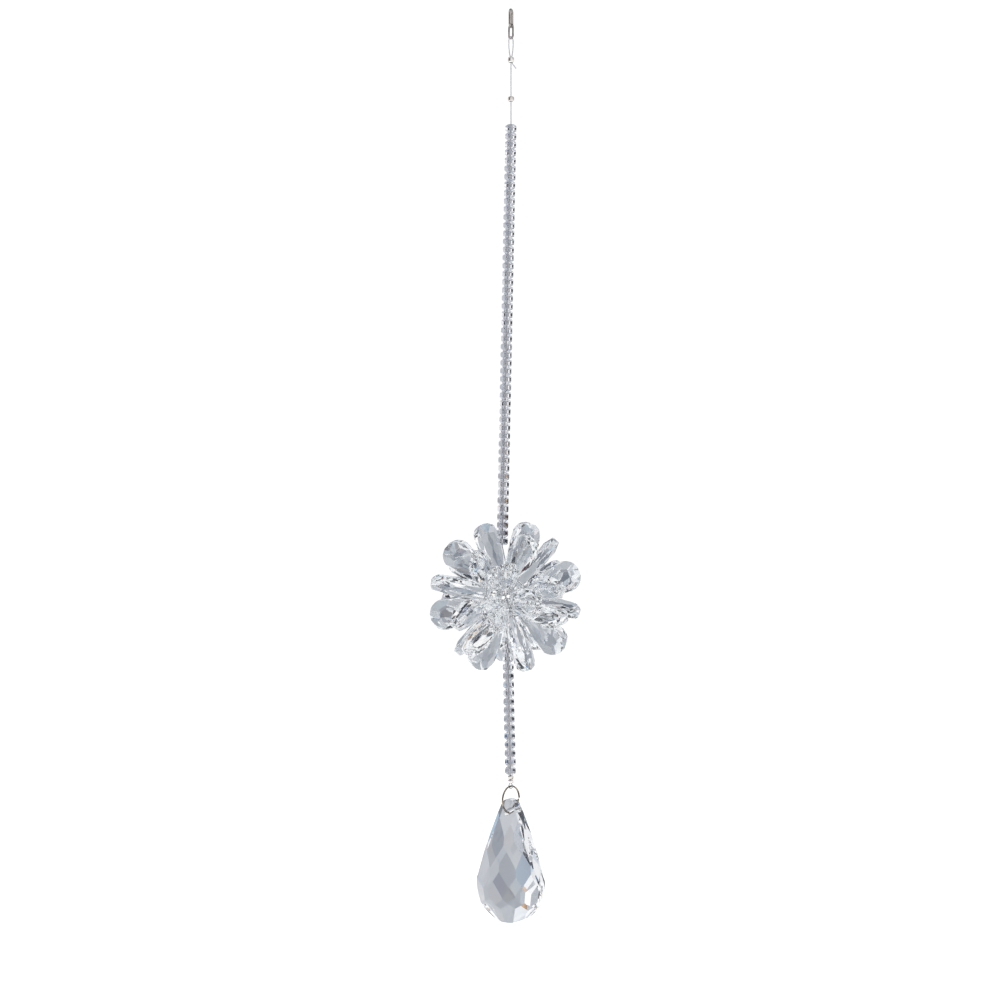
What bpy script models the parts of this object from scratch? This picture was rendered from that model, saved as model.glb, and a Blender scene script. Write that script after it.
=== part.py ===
# Crystal suncatcher: two links, a clear stringing line, a long and a short strand of faceted
# beads, a flower of thirty drilled crystal drops between them and a large pear drop below.
# Metres, +Z up. The origin is the hanging point, the inner top of the topmost link, and the
# flower faces -Y.

from math import cos, pi, radians, sin, sqrt

import bmesh
import bpy
from mathutils import Matrix, Vector

# Room kept between two pieces that touch each other on the real object.
GAP = 0.0003

# Hanging link and the link below it: outer length and width, wire, turn about the vertical,
# and the number of steps in each bend.
HANGING_LINK_LENGTH = 0.0078
HANGING_LINK_WIDTH = 0.0036
HANGING_LINK_WIRE = 0.0009
HANGING_LINK_TURN = radians(68)
SECOND_LINK_LENGTH = 0.0064
SECOND_LINK_WIDTH = 0.0034
SECOND_LINK_WIRE = 0.0007
SECOND_LINK_TURN = radians(-55)
LINK_STEPS = 6

# Clear stringing line: thickness, loops at its two ends, bare stretches and the cut tail.
LINE = 0.00042
TOP_LOOP_LENGTH = 0.0082
TOP_LOOP_WIDTH = 0.0025
BARE_LINE_ABOVE_STOP = 0.0136
BARE_LINE_BELOW_STOP = 0.0092
END_LOOP_LENGTH = 0.0021
END_LOOP_WIDTH = 0.0022
TAIL_LENGTH = 0.0028
TAIL_ANGLE = radians(38)

# One leg of a loop: share of its height from the top, share of its width from the middle. Where
# the loop closes, each leg's middle is this many thicknesses from the middle of the loop.
LOOP_OUTLINE = ((0.0, 0.0), (0.05, 0.34), (0.16, 0.5), (0.5, 0.5), (0.8, 0.36))
LOOP_PINCH = 0.75

# Swelling of the line where stretches of it meet, and at the bend of a loop. A stretch runs
# straight through a drop whose hole leans from it by less than the angle.
JOINT = 0.00062
BEND_JOINT = 0.00048
STRAIGHT_ENOUGH = radians(6)

# Directions from the flower's centre in which the line leaves the weave, upwards and downwards:
# azimuth from +X towards +Z, then tilt from the front.
TOP_EXIT = (radians(84), radians(110))
LOW_EXIT = (radians(264), radians(70))

# Crimp beads: the one that closes the top loop, the stop below it, the pair under the beads.
TOP_CRIMP_HEIGHT = 0.0020
STOP_CRIMP_HEIGHT = 0.0018
END_CRIMP_HEIGHT = 0.0013
CRIMP_WALL = 0.0004
CRIMP_BULGE = 0.00012
CRIMP_SIDES = 10

# Thicknesses of line that a crimp takes side by side, with a little room.
CRIMP_FILL = 2.5

# Bead strands: width over the facets, pitch, belt and neck of one bead, bore, counts, leans.
BEAD_WIDTH = 0.0047
BEAD_NECK = 0.0028
BEAD_BELT = 0.0012
BEAD_SIDES = 6
UPPER_PITCH = 0.0032
UPPER_BEADS = 52
UPPER_LEAN = radians(-1.19)
LOWER_PITCH = 0.0034
LOWER_BEADS = 16
LOWER_LEAN = radians(1.3)

# Flower: radius at which the drops are drilled, and how far the strands stop from the weave.
WEAVE_RADIUS = 0.0088
UPPER_STRAND_STANDOFF = 0.0117
LOWER_STRAND_STANDOFF = 0.0072
UPPER_STRAND_SIDESTEP = 0.0014
LOWER_STRAND_SIDESTEP = 0.0007
FLOWER_TURN = radians(-13.7)

# One drop of the flower.
PETAL_LENGTH = 0.0240
PETAL_WIDTH = 0.0124
PETAL_THICKNESS = 0.0056
PETAL_TIP_WIDTH = 0.0026
PETAL_TIP_THICKNESS = 0.0022
PETAL_HOLE_INSET = 0.0020

# Jump ring and the large pear drop.
RING_DIAMETER = 0.0112
RING_WIRE = 0.0007
RING_TURN = radians(52)
RING_CUT = radians(5)
RING_STAGGER = 0.0004
RING_STEPS = 20
DROP_LENGTH = 0.0487
DROP_WIDTH = 0.0286
DROP_THICKNESS = 0.0130
DROP_TIP_WIDTH = 0.0062
DROP_TIP_THICKNESS = 0.0030
DROP_HOLE_INSET = 0.0052
DROP_HOLE = 0.0024
DROP_TURN = radians(-30)

# The tips are rounded by cuts at these angles from the long axis, in degrees.
PETAL_TIP_TURNS = (-48, 0, 48)
DROP_TIP_TURNS = (-60, -30, 0, 30, 60)

# Facets of one face, row by row from the tip: share of the length, degrees from the middle of
# the face towards the rim. Then the shares of the length at which the rim is ground.
PETAL_ROWS = ((0.20, (30,)), (0.56, (0, 52)), (0.84, (26,)))
PETAL_RIM = (0.24, 0.60, 0.82, 0.94)
DROP_ROWS = (
    (0.10, (0,)),
    (0.32, (22, 64)),
    (0.58, (0, 46)),
    (0.76, (24, 68)),
    (0.90, (0, 48)),
    (0.97, (20,)),
)
DROP_RIM = (0.02, 0.14, 0.32, 0.50, 0.66, 0.78, 0.88, 0.95, 0.987)

# How single drops of the flower lean away from the even layout, in whole degrees: number of the
# drop, then change of azimuth, change of tilt and roll about its own length.
SWINGS = {
    1: (-14, 4, 0),
    2: (20, 0, 0),
    3: (4, 4, 0),
    4: (9, -15, 0),
    5: (-22, 2, 0),
    6: (0, -20, 0),
    7: (-4, -14, 0),
    8: (-20, 5, 0),
    9: (22, -3, 0),
    10: (4, 10, 0),
    11: (2, 10, 26),
    12: (0, 12, 30),
    13: (4, 0, 0),
    14: (-7, 3, 12),
    15: (4, 0, 0),
    16: (0, 3, 0),
    17: (-12, 4, -18),
    18: (2, 4, 0),
    19: (2, -12, -45),
    20: (5, -8, 0),
    21: (3, -12, 16),
}

# Sections of round wire and of bores have this many sides.
WIRE_SIDES = 8
LINE_SIDES = 4
BORE_SIDES = 6

# Corners closer together than this share of a crystal's length become one.
WELD = 1e-5
GOLDEN = (1 + sqrt(5)) / 2


def remove_everything():
    """Empty the scene."""
    for item in list(bpy.data.objects):
        bpy.data.objects.remove(item)


def material(name, colour, roughness, metallic=0.0, transmission=0.0, ior=1.5):
    """One Principled material."""
    made = bpy.data.materials.new(name)
    made.use_nodes = True
    shader = made.node_tree.nodes["Principled BSDF"]
    shader.inputs["Base Color"].default_value = (*colour, 1.0)
    shader.inputs["Roughness"].default_value = roughness
    shader.inputs["Metallic"].default_value = metallic
    shader.inputs["Transmission Weight"].default_value = transmission
    shader.inputs["IOR"].default_value = ior
    made.diffuse_color = (*colour, 1.0)
    return made


def place(name, data, surface, matrix=None, smooth=False):
    """Put a mesh or a curve in the scene as one named object with its own material."""
    made = bpy.data.objects.new(name, data)
    if not data.materials:
        data.materials.append(surface)
    if matrix is not None:
        made.matrix_world = matrix
    if smooth:
        data.shade_smooth()
    bpy.context.scene.collection.objects.link(made)
    return made


def mesh_from(bm, name):
    """Turn a bmesh into a mesh with its faces pointing outwards."""
    bmesh.ops.recalc_face_normals(bm, faces=bm.faces)
    mesh = bpy.data.meshes.new(name)
    bm.to_mesh(mesh)
    bm.free()
    return mesh


def as_mesh(host):
    """Swap an object for the plain mesh that its modifiers or its curve give."""
    bpy.context.view_layer.update()
    mesh = bpy.data.meshes.new_from_object(host.evaluated_get(bpy.context.evaluated_depsgraph_get()))
    bpy.data.objects.remove(host)
    return mesh


def wire(name, points, thickness, cyclic, surface, matrix=None, sides=WIRE_SIDES):
    """A round wire along points, closed on itself or capped at both ends."""
    curve = bpy.data.curves.new(name, "CURVE")
    curve.dimensions = "3D"
    curve.bevel_depth = thickness / 2
    curve.bevel_resolution = sides // 2 - 2
    curve.use_fill_caps = not cyclic
    spline = curve.splines.new("POLY")
    spline.points.add(len(points) - 1)
    for target, point in zip(spline.points, points):
        target.co = (*point, 1.0)
    spline.use_cyclic_u = cyclic
    spline.use_smooth = True
    return place(name, curve, surface, matrix)


def oval(length, width, steps):
    """Centre line of an upright oval link in the XZ plane: two half circles and two straights."""
    radius = width / 2
    straight = length / 2 - radius
    points = []
    for side in (1, -1):
        for step in range(steps + 1):
            angle = pi * step / steps
            points.append(Vector((side * radius * cos(angle), 0, side * (straight + radius * sin(angle)))))
    return points


def link(name, length, width, thickness, turn, inner_top, surface):
    """An oval link that hangs with the inside of its top at a height. Returns its inner bottom."""
    middle = inner_top - (length / 2 - thickness)
    matrix = Matrix.Translation((0, 0, middle)) @ Matrix.Rotation(turn, 4, "Z")
    middle_line = oval(length - thickness, width - thickness, LINK_STEPS)
    wire(name, middle_line, thickness, True, surface, matrix)
    return inner_top - (length - 2 * thickness)


def crimp(name, top, height, bore, surface):
    """A short metal crimp bead with a rounded wall. top is the middle of its upper end."""
    inner = bore / 2
    outer = inner + CRIMP_WALL
    profile = (
        (inner, 0),
        (outer, 0),
        (outer + CRIMP_BULGE, -height * 0.5),
        (outer, -height),
        (inner, -height),
    )
    bm = bmesh.new()
    verts = [bm.verts.new((radius, 0, z)) for radius, z in profile]
    edges = [bm.edges.new((verts[i], verts[(i + 1) % len(verts)])) for i in range(len(verts))]
    bmesh.ops.spin(
        bm, geom=verts + edges, cent=(0, 0, 0), axis=(0, 0, 1), angle=2 * pi,
        steps=CRIMP_SIDES, use_merge=True,
    )
    mesh = mesh_from(bm, name)
    place(name, mesh, surface, Matrix.Translation(top), smooth=True)
    mesh.set_sharp_from_angle(angle=radians(40))


def bead_strand(name, top, lean, pitch, count, bore, surface):
    """Beads that touch at their necks, with one straight bore. Returns the strand's lower end."""
    belt = BEAD_BELT / 2
    outline = [(BEAD_NECK / 2, 0.0)]
    for bead in range(count):
        middle = (bead + 0.5) * pitch
        outline.append((BEAD_WIDTH / 2, middle - belt))
        outline.append((BEAD_WIDTH / 2, middle + belt))
        outline.append((BEAD_NECK / 2, (bead + 1) * pitch))
    outline.append((bore / 2, count * pitch))
    outline.append((bore / 2, 0.0))
    bm = bmesh.new()
    rings = []
    for radius, depth in outline:
        ring = []
        for side in range(BEAD_SIDES):
            angle = 2 * pi * (side + 0.5) / BEAD_SIDES
            ring.append(bm.verts.new((radius * cos(angle), radius * sin(angle), -depth)))
        rings.append(ring)
    for upper, lower in zip(rings, rings[1:] + rings[:1]):
        for side in range(BEAD_SIDES):
            after = (side + 1) % BEAD_SIDES
            bm.faces.new((upper[side], upper[after], lower[after], lower[side]))
    matrix = Matrix.Translation(top) @ Matrix.Rotation(-lean, 4, "Y")
    place(name, mesh_from(bm, name), surface, matrix)
    return matrix @ Vector((0, 0, -count * pitch))


class Pear:
    """A pear form from its tip, z = 0, to its round end, z = length, wide in X and thin in Y."""

    def __init__(self, length, width, thickness, tip_width, tip_thickness):
        self.length = length
        self.width = width / 2
        self.thickness = thickness / 2
        self.tip_width = tip_width / 2
        self.tip_thickness = tip_thickness / 2
        self.centre = length - self.width
        fall = self.width - self.tip_width
        self.flank = (fall ** 2 + self.centre ** 2) / (2 * fall)

    def half_width(self, z):
        """Half the width at a height: a round end and flanks of one large radius."""
        if z > self.centre:
            return sqrt(max(self.width ** 2 - (z - self.centre) ** 2, 0.0))
        return self.width - self.flank + sqrt(self.flank ** 2 - (self.centre - z) ** 2)

    def half_thickness(self, z):
        """Half the thickness at a height."""
        if z > self.centre:
            return self.thickness * self.half_width(z) / self.width
        share = (self.centre - z) / self.centre
        return self.thickness - (self.thickness - self.tip_thickness) * share ** 2

    def point(self, z, angle):
        """A point of the smooth form. The angle turns from the middle of the face to the rim."""
        return Vector((self.half_width(z) * sin(angle), self.half_thickness(z) * cos(angle), z))

    def facet(self, z, angle):
        """The plane that touches the smooth form at a point, as (point, outward normal)."""
        step = self.length * 1e-4
        middle = self.point(z, angle)
        along = self.point(z + step, angle) - self.point(z - step, angle)
        around = self.point(z, angle + 1e-3) - self.point(z, angle - 1e-3)
        normal = along.cross(around).normalized()
        if normal.dot(middle - Vector((0, 0, z))) < 0:
            normal.negate()
        return middle, normal


def cut_crystal(name, pear, rows, rim, tip_turns, hole_inset, hole):
    """Grind a pear form from a block, facet by facet, and drill it through near its tip.

    rows holds (share of the length, angles in degrees) for the facets of one face, and rim the
    shares of the length at which the edge is ground. tip_turns are the angles of the cuts that
    round the tip. The hole runs along Y through the origin.
    """
    planes = [(Vector((0, 0, pear.length)), Vector((0, 0, 1)))]
    for turn in tip_turns:
        normal = Vector((sin(radians(turn)), 0, -cos(radians(turn))))
        planes.append((Vector((0, 0, pear.tip_width)) + normal * pear.tip_width, normal))
    for share, angles in rows:
        for angle in angles:
            for turn in {angle, -angle}:
                for face in (0, 180):
                    planes.append(pear.facet(share * pear.length, radians(turn + face)))
    for share in rim:
        for turn in (90, -90):
            planes.append(pear.facet(share * pear.length, radians(turn)))
    bm = bmesh.new()
    bmesh.ops.create_cube(bm, size=4 * pear.length)
    for point, normal in planes:
        everything = bm.verts[:] + bm.edges[:] + bm.faces[:]
        cut = bmesh.ops.bisect_plane(
            bm, geom=everything, dist=1e-8, plane_co=point, plane_no=normal, clear_outer=True
        )
        edges = [item for item in cut["geom_cut"] if isinstance(item, bmesh.types.BMEdge)]
        if edges:
            bmesh.ops.contextual_create(bm, geom=edges)
    bmesh.ops.remove_doubles(bm, verts=bm.verts, dist=WELD * pear.length)
    bmesh.ops.dissolve_degenerate(bm, edges=bm.edges, dist=WELD * pear.length)
    bmesh.ops.translate(bm, verts=bm.verts, vec=(0, 0, -hole_inset))
    blank = mesh_from(bm, name)
    drill = bmesh.new()
    bmesh.ops.create_cone(
        drill, cap_ends=True, segments=BORE_SIDES, radius1=hole / 2, radius2=hole / 2,
        depth=4 * pear.thickness, matrix=Matrix.Rotation(pi / 2, 4, "X"),
    )
    cutter = bpy.data.objects.new("drill", mesh_from(drill, "drill"))
    host = bpy.data.objects.new(name, blank)
    for item in (cutter, host):
        bpy.context.scene.collection.objects.link(item)
    bore = host.modifiers.new("Bore", "BOOLEAN")
    bore.operation = "DIFFERENCE"
    bore.object = cutter
    bore.solver = "EXACT"
    drilled = as_mesh(host)
    bpy.data.objects.remove(cutter)
    return drilled


def dodecahedron_edges():
    """The thirty edges of a dodecahedron, as pairs of corner indices, and its twenty corners."""
    corners = [Vector((x, y, z)) for x in (-1, 1) for y in (-1, 1) for z in (-1, 1)]
    for a in (-1 / GOLDEN, 1 / GOLDEN):
        for b in (-GOLDEN, GOLDEN):
            corners += [Vector((0, a, b)), Vector((a, b, 0)), Vector((b, 0, a))]
    edges = []
    for i, first in enumerate(corners):
        for j in range(i + 1, len(corners)):
            if (first - corners[j]).length < 2 / GOLDEN + 0.01:
                edges.append((i, j))
    return corners, edges


def view_frame():
    """The turn that brings a corner of the dodecahedron to the front, -Y, and rolls it."""
    front = Vector((1, 1, 1)).normalized()
    up = Vector((1 / GOLDEN, 1, -GOLDEN)).normalized()
    right = up.cross(front)
    frame = Matrix((right, -front, up))
    return Matrix.Rotation(-FLOWER_TURN, 3, "Y") @ frame


def aim(azimuth, tilt):
    """A direction. The azimuth turns from +X to +Z as seen from the front, the tilt is from -Y."""
    return Vector((sin(tilt) * cos(azimuth), -cos(tilt), sin(tilt) * sin(azimuth)))


def flower_layout(centre):
    """Where the thirty drops sit: name, frame of the drop, its two line corners."""
    corners, edges = dodecahedron_edges()
    turn = view_frame()
    scale = WEAVE_RADIUS / GOLDEN
    places = []
    for first, second in edges:
        middle = turn @ ((corners[first] + corners[second]) / 2)
        along = turn @ (corners[second] - corners[first])
        tilt = round(middle.angle(Vector((0, -1, 0))) * 180 / pi)
        azimuth = round(Vector((middle.x, middle.z)).angle_signed(Vector((1, 0)), 0) * 180 / pi) % 360
        places.append((tilt, azimuth, middle.normalized(), along.normalized(), first, second))
    places.sort(key=lambda item: item[:2])
    seats = []
    for number, (tilt, azimuth, outward, along, first, second) in enumerate(places, start=1):
        swing_azimuth, swing_tilt, roll = SWINGS.get(number, (0, 0, 0))
        aimed = aim(radians(azimuth + swing_azimuth), radians(tilt + swing_tilt))
        swing = outward.rotation_difference(aimed).to_matrix()
        frame = swing @ Matrix((along.cross(outward), along, outward)).transposed()
        frame = frame @ Matrix.Rotation(radians(roll), 3, "Z")
        matrix = Matrix.Translation(centre + outward * WEAVE_RADIUS) @ frame.to_4x4()
        seats.append((f"flower_drop_{number:02d}", matrix, first, second))
    woven = [centre + turn @ corner * scale for corner in corners]
    return seats, woven


class LineNetwork:
    """Stretches of the stringing line and the spots where they meet, fused into one body."""

    def __init__(self):
        self.runs = []
        self.joints = []

    def run(self, points):
        """A stretch of line along points. Both its ends lie in joints."""
        self.runs.append([Vector(point) for point in points])

    def joint(self, middle, size=JOINT):
        """A small rounded swelling of line in which stretches meet or end."""
        self.joints.append((Vector(middle), size))

    def mesh(self, name, surface):
        """All stretches and joints as one closed mesh."""
        group = bpy.data.collections.new(name)
        bpy.context.scene.collection.children.link(group)
        meshes = []
        for points in self.runs:
            stretch = wire("stretch", points, LINE, False, surface, sides=LINE_SIDES)
            meshes.append(as_mesh(stretch))
        for middle, size in self.joints:
            bm = bmesh.new()
            bmesh.ops.create_cube(bm, size=size)
            bmesh.ops.translate(bm, verts=bm.verts, vec=middle)
            meshes.append(mesh_from(bm, "joint"))
        for mesh in meshes[1:]:
            group.objects.link(bpy.data.objects.new("piece", mesh))
        host = place("host", meshes[0], surface)
        union = host.modifiers.new("Union", "BOOLEAN")
        union.operation = "UNION"
        union.operand_type = "COLLECTION"
        union.collection = group
        union.solver = "EXACT"
        union.use_self = True
        result = as_mesh(host)
        result.name = name
        for item in list(group.objects):
            bpy.data.objects.remove(item)
        bpy.data.collections.remove(group)
        return result


def nearest_corner(woven, centre, azimuth, tilt):
    """The corner of the weave nearest to a direction from the flower's centre."""
    wanted = centre + aim(azimuth, tilt) * WEAVE_RADIUS
    return min(woven, key=lambda corner: (corner - wanted).length)


def loop(network, top, foot, width, turn, joint):
    """A loop of line from its top to its foot. Its legs run on, pinched together, to a joint."""
    height = top.z - foot.z
    across = Vector((cos(turn), sin(turn), 0))
    for side in (-1, 1):
        leg = []
        for down, out in LOOP_OUTLINE:
            leg.append(top + side * width * out * across - Vector((0, 0, down * height)))
        leg.append(foot + side * LOOP_PINCH * LINE * across)
        leg.append(joint)
        network.run(leg)
    network.joint(top, BEND_JOINT)
    network.joint(joint)


remove_everything()

STEEL = material("steel", (0.62, 0.60, 0.58), 0.18, metallic=1.0)
SILVER = material("silver_crimp", (0.80, 0.78, 0.76), 0.15, metallic=1.0)
NYLON = material("clear_line", (0.90, 0.92, 0.93), 0.15, transmission=0.8, ior=1.53)
BEAD_GLASS = material("bead_glass", (0.86, 0.88, 0.93), 0.02, transmission=1.0, ior=1.52)
PETAL_GLASS = material("petal_glass", (0.88, 0.91, 0.94), 0.02, transmission=1.0, ior=1.55)
DROP_GLASS = material("drop_glass", (0.86, 0.88, 0.93), 0.01, transmission=1.0, ior=1.58)

# The chain of heights from the hanging point down.
line_room = LINE * sqrt(2) + 2 * GAP
crimp_bore = CRIMP_FILL * LINE + 2 * GAP
hanging_inner_bottom = link(
    "hanging_link", HANGING_LINK_LENGTH, HANGING_LINK_WIDTH, HANGING_LINK_WIRE, HANGING_LINK_TURN, 0.0, STEEL
)
second_inner_bottom = link(
    "second_link", SECOND_LINK_LENGTH, SECOND_LINK_WIDTH, SECOND_LINK_WIRE, SECOND_LINK_TURN,
    hanging_inner_bottom + GAP, STEEL
)
loop_top = Vector((0, 0, second_inner_bottom + GAP + LINE / 2))
loop_foot = loop_top - Vector((0, 0, TOP_LOOP_LENGTH))
crimp("loop_crimp", loop_foot, TOP_CRIMP_HEIGHT, crimp_bore, SILVER)
stop_top = loop_foot - Vector((0, 0, TOP_CRIMP_HEIGHT + BARE_LINE_ABOVE_STOP))
crimp("stop_crimp", stop_top, STOP_CRIMP_HEIGHT, crimp_bore, SILVER)
upper_top = stop_top - Vector((0, 0, STOP_CRIMP_HEIGHT + BARE_LINE_BELOW_STOP))
upper_end = bead_strand(
    "upper_bead_strand", upper_top, UPPER_LEAN, UPPER_PITCH, UPPER_BEADS, line_room, BEAD_GLASS
)
centre = upper_end + Vector((UPPER_STRAND_SIDESTEP, 0, -UPPER_STRAND_STANDOFF - WEAVE_RADIUS))
lower_top = centre + Vector((LOWER_STRAND_SIDESTEP, 0, -WEAVE_RADIUS - LOWER_STRAND_STANDOFF))
lower_end = bead_strand(
    "lower_bead_strand", lower_top, LOWER_LEAN, LOWER_PITCH, LOWER_BEADS, line_room, BEAD_GLASS
)
crimp("upper_end_crimp", lower_end - Vector((0, 0, GAP)), END_CRIMP_HEIGHT, crimp_bore, SILVER)
lower_crimp_top = lower_end - Vector((0, 0, 2 * GAP + END_CRIMP_HEIGHT))
crimp("lower_end_crimp", lower_crimp_top, END_CRIMP_HEIGHT, crimp_bore, SILVER)
end_loop_top = lower_crimp_top - Vector((0, 0, END_CRIMP_HEIGHT))
end_loop_foot = end_loop_top - Vector((0, 0, END_LOOP_LENGTH))

# The flower.
petal = Pear(PETAL_LENGTH, PETAL_WIDTH, PETAL_THICKNESS, PETAL_TIP_WIDTH, PETAL_TIP_THICKNESS)
petal_mesh = cut_crystal(
    "flower_drop", petal, PETAL_ROWS, PETAL_RIM, PETAL_TIP_TURNS, PETAL_HOLE_INSET, line_room
)
seats, woven = flower_layout(centre)
for name, matrix, first, second in seats:
    place(name, petal_mesh, PETAL_GLASS, matrix)

# The stringing line: woven through the thirty drops, up to the top loop, down to the end loop.
line = LineNetwork()
for corner in woven:
    line.joint(corner)
reach = petal.half_thickness(PETAL_HOLE_INSET) + GAP
for name, matrix, first, second in seats:
    entry = matrix @ Vector((0, -reach, 0))
    outlet = matrix @ Vector((0, reach, 0))
    if (outlet - entry).angle(woven[second] - woven[first]) < STRAIGHT_ENOUGH:
        line.run([woven[first], woven[second]])
    else:
        line.run([woven[first], entry, outlet, woven[second]])
loop_joint = loop_foot - Vector((0, 0, TOP_CRIMP_HEIGHT * 0.5))
loop(line, loop_top, loop_foot, TOP_LOOP_WIDTH - LINE, SECOND_LINK_TURN + pi / 2, loop_joint)
tail_bend = loop_joint + Vector((LOOP_PINCH * LINE, 0, -TOP_CRIMP_HEIGHT / 2 - GAP))
tail_end = tail_bend + Vector((sin(TAIL_ANGLE), 0, -cos(TAIL_ANGLE))) * TAIL_LENGTH
line.run([loop_joint, tail_bend, tail_end])
upper_axis = (upper_top - upper_end).normalized()
lower_axis = (lower_top - lower_end).normalized()
# The ends of the line meet in the bore of the last bead, a quarter of a bead above its end.
end_joint = lower_end + LOWER_PITCH / 4 * lower_axis
top_corner = nearest_corner(woven, centre, *TOP_EXIT)
low_corner = nearest_corner(woven, centre, *LOW_EXIT)
line.run([loop_joint, upper_top + GAP * upper_axis, upper_end - GAP * upper_axis, top_corner])
line.run([low_corner, lower_top + LINE * lower_axis, end_joint])
loop(line, end_loop_foot, end_loop_top, END_LOOP_WIDTH - LINE, RING_TURN - pi / 2, end_joint)
place("stringing_line", line.mesh("stringing_line", NYLON), NYLON)

# The jump ring and the large drop.
ring_radius = (RING_DIAMETER - RING_WIRE) / 2
ring_points = []
for step in range(RING_STEPS + 1):
    angle = RING_CUT / 2 + (2 * pi - RING_CUT) * step / RING_STEPS
    stagger = RING_STAGGER * (step / RING_STEPS - 0.5)
    ring_points.append((ring_radius * cos(angle), stagger, ring_radius * sin(angle)))
ring_top = end_loop_foot.z + LINE / 2 + GAP + RING_WIRE
ring_middle = Vector((end_loop_foot.x, 0, ring_top - RING_DIAMETER / 2))
ring_place = Matrix.Translation(ring_middle) @ Matrix.Rotation(RING_TURN, 4, "Z")
wire("jump_ring", ring_points, RING_WIRE, False, STEEL, ring_place)

drop = Pear(DROP_LENGTH, DROP_WIDTH, DROP_THICKNESS, DROP_TIP_WIDTH, DROP_TIP_THICKNESS)
drop_mesh = cut_crystal(
    "crystal_drop", drop, DROP_ROWS, DROP_RIM, DROP_TIP_TURNS, DROP_HOLE_INSET, DROP_HOLE
)
half_bore = drop.half_thickness(DROP_HOLE_INSET)
rise = ring_radius - sqrt(ring_radius ** 2 - half_bore ** 2)
drop_place = Matrix.Translation(ring_middle + Vector((0, 0, rise / 2 - ring_radius)))
drop_place = drop_place @ Matrix.Rotation(DROP_TURN, 4, "Z") @ Matrix.Rotation(pi, 4, "Y")
place("crystal_drop", drop_mesh, DROP_GLASS, drop_place)
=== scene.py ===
from math import cos, pi, radians, sin, sqrt

import bmesh
import bpy
from mathutils import Matrix, Vector


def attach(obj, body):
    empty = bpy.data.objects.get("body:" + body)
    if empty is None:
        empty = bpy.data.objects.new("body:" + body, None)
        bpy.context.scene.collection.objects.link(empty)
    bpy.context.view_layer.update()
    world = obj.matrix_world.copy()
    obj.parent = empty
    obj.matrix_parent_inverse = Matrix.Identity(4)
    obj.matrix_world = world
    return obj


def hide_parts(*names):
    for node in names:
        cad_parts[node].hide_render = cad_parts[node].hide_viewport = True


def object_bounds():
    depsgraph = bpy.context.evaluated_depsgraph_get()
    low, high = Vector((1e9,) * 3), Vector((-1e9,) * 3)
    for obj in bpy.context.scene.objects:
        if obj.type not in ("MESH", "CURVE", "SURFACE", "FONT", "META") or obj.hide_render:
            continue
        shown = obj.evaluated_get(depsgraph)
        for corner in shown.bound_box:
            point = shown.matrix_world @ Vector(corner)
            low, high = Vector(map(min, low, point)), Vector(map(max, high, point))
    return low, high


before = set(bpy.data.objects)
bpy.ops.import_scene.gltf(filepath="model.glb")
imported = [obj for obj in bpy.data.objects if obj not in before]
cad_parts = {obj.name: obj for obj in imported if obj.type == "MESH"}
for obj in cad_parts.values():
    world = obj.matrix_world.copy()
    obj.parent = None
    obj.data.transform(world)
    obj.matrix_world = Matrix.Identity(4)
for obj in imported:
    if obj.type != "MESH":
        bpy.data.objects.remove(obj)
cad_low, cad_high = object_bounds()


# The view of the photograph: straight on and level, from a little under a metre, so that the
# ornament fills the height of the picture.
LENS = 85.0
SENSOR = 36.0
CLIP = (0.01, 50.0)
VIEW_WIDTH = 0.3955
VIEW_CENTRE = Vector((-0.00435, 0.0, -0.1935))

# How often light is followed: in all, and through or inside the crystal.
ALL_BOUNCES = 40
CRYSTAL_BOUNCES = 32

view = bpy.data.cameras.new("view")
view.lens = LENS
view.sensor_width = SENSOR
view.clip_start, view.clip_end = CLIP
camera = bpy.data.objects.new("view", view)
camera.location = VIEW_CENTRE - Vector((0, VIEW_WIDTH * LENS / SENSOR, 0))
camera.rotation_euler = (pi / 2, 0, 0)
bpy.context.scene.collection.objects.link(camera)
bpy.context.scene.camera = camera
bpy.context.scene.view_settings.view_transform = "Standard"
bpy.context.scene.cycles.max_bounces = ALL_BOUNCES
bpy.context.scene.cycles.transmission_bounces = CRYSTAL_BOUNCES
bpy.context.scene.cycles.glossy_bounces = CRYSTAL_BOUNCES


# The studio round the ornament: a white page behind it and a pale floor some way below. What the
# crystal gathers from the room is white all round, with a blue-grey board straight behind it.
FLOOR_DROP = 0.24
FLOOR_RADIUS = 5.0
FLOOR_SIDES = 96
FLOOR_TONE = 0.9
FLOOR_ROUGHNESS = 0.7
FLOOR_GLOW = 0.7
PAGE_WHITE = 1.04
ROOM_WHITE = 0.94
BOARD_GREY = 0.44
BOARD_AZIMUTH = 9
BOARD_REACH = (40, 52)
DRIFT = (0.80, 1.22)
DRIFT_SPREAD = (0.3, 0.7)
DRIFT_SCALE = 2.2
TINT = (1.09, 1.02, 0.91)
COLOUR_SPLIT = radians(0.6)
SPLIT_AXIS = (0.5, 0.3, 0.81)
SOFTBOX_SIZE = 1.3
SOFTBOX_POWER = 9.0
SOFTBOX_PLACE = (0.15, -0.25, 1.0)
SOFTBOX_TURN = (radians(-12), radians(8), 0)

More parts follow.
